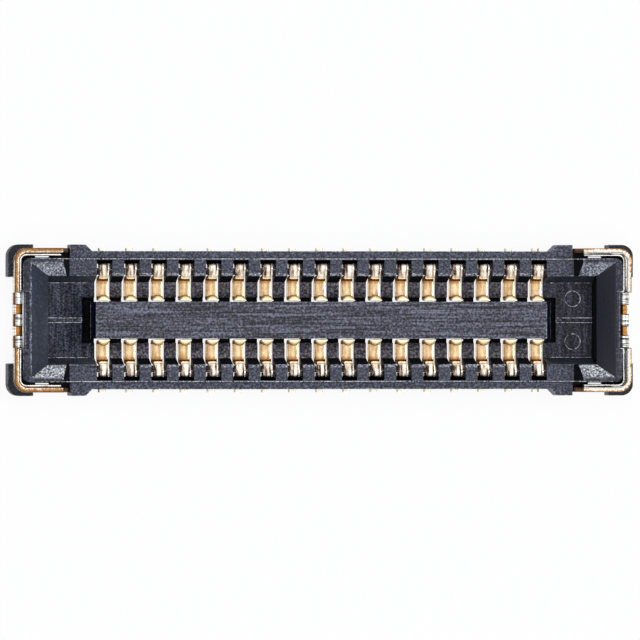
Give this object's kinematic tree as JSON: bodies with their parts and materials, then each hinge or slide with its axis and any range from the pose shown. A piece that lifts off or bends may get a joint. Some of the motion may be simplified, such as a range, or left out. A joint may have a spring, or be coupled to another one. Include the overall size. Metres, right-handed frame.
{
  "type": "board-to-board connector receptacle",
  "caption": "Low surface-mount receptacle with two rows of bent spring contacts either side of a centre bar and a formed metal hold-down round each end.",
  "frame": {"origin": "middle of the connector on the solder plane, under the centre bar", "axes": "+X along the contact rows, +Y towards contact row a, +Z away from the board, the way the plug leaves"},
  "size_m": [0.008, 0.002, 0.0006],
  "materials": {
    "moulding": "matte, glass-filled, with fine tool marks",
    "contact_gold": "gold-plated copper alloy, bright on the contact point, duller on the floor",
    "hold_down_gold": "gold-plated copper alloy with silvery sheared edges"
  },
  "bodies": {
    "root": {"housing": "moulding", "hold_down_left": "hold_down_gold", "hold_down_right": "hold_down_gold", "contact_a01": "contact_gold", "contact_a02": "contact_gold", "contact_a03": "contact_gold", "contact_a04": "contact_gold", "contact_a05": "contact_gold", "contact_a06": "contact_gold", "contact_a07": "contact_gold", "contact_a08": "contact_gold", "contact_a09": "contact_gold", "contact_a10": "contact_gold", "contact_a11": "contact_gold", "contact_a12": "contact_gold", "contact_a13": "contact_gold", "contact_a14": "contact_gold", "contact_a15": "contact_gold", "contact_a16": "contact_gold", "contact_a17": "contact_gold", "contact_b01": "contact_gold", "contact_b02": "contact_gold", "contact_b03": "contact_gold", "contact_b04": "contact_gold", "contact_b05": "contact_gold", "contact_b06": "contact_gold", "contact_b07": "contact_gold", "contact_b08": "contact_gold", "contact_b09": "contact_gold", "contact_b10": "contact_gold", "contact_b11": "contact_gold", "contact_b12": "contact_gold", "contact_b13": "contact_gold", "contact_b14": "contact_gold", "contact_b15": "contact_gold", "contact_b16": "contact_gold", "contact_b17": "contact_gold"}
  },
  "joints": []
}
